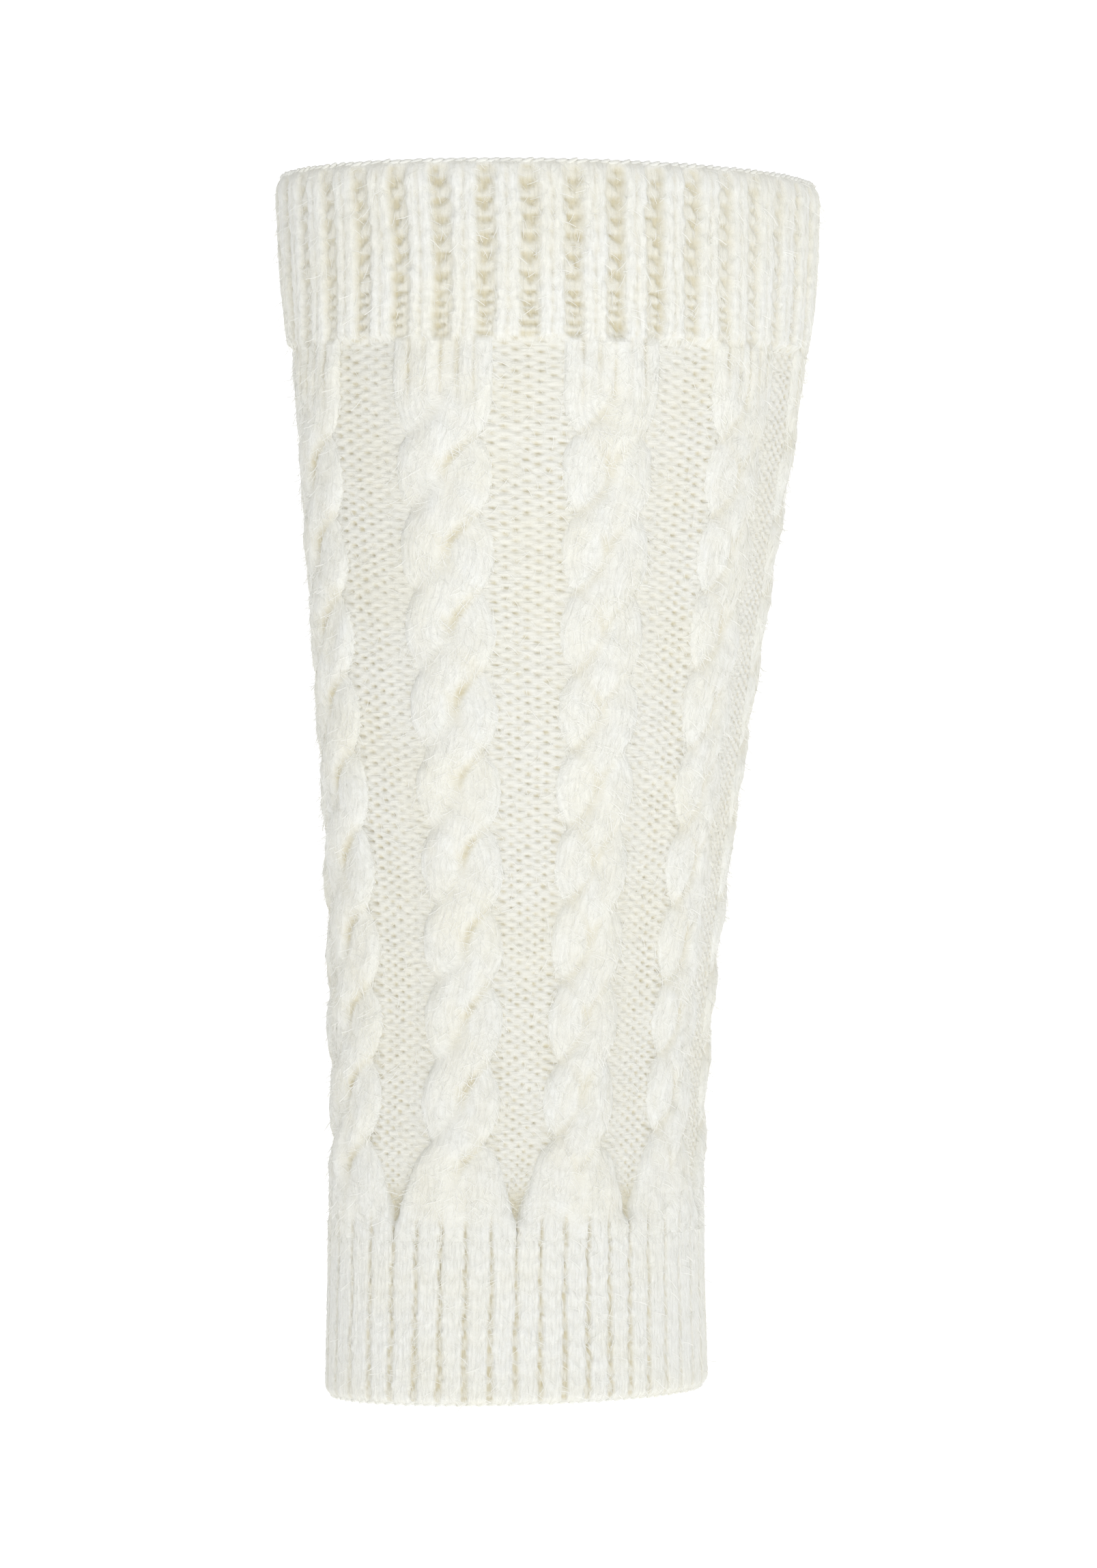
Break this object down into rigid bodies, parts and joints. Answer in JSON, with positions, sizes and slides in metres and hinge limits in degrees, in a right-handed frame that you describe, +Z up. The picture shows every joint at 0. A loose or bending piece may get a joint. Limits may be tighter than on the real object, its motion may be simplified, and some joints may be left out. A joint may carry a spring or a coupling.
{
  "type": "cable-knit leg warmer",
  "caption": "Hollow tapered tube of thick cable knit for the lower leg, with a ribbed cuff at each open end.",
  "frame": {"origin": "on the tube's axis, half-way down the top cuff, where the calf holds it", "axes": "+Z up along the leg towards the wide cuff, +X to the right and +Y to the back as the picture shows it"},
  "size_m": [0.131, 0.126, 0.29],
  "materials": {
    "cream_knit": "thick brushed wool-blend yarn, cream, matt and softly fuzzy"
  },
  "bodies": {
    "root": {"top_cuff": "cream_knit", "cable_body": "cream_knit", "bottom_cuff": "cream_knit"}
  },
  "joints": []
}
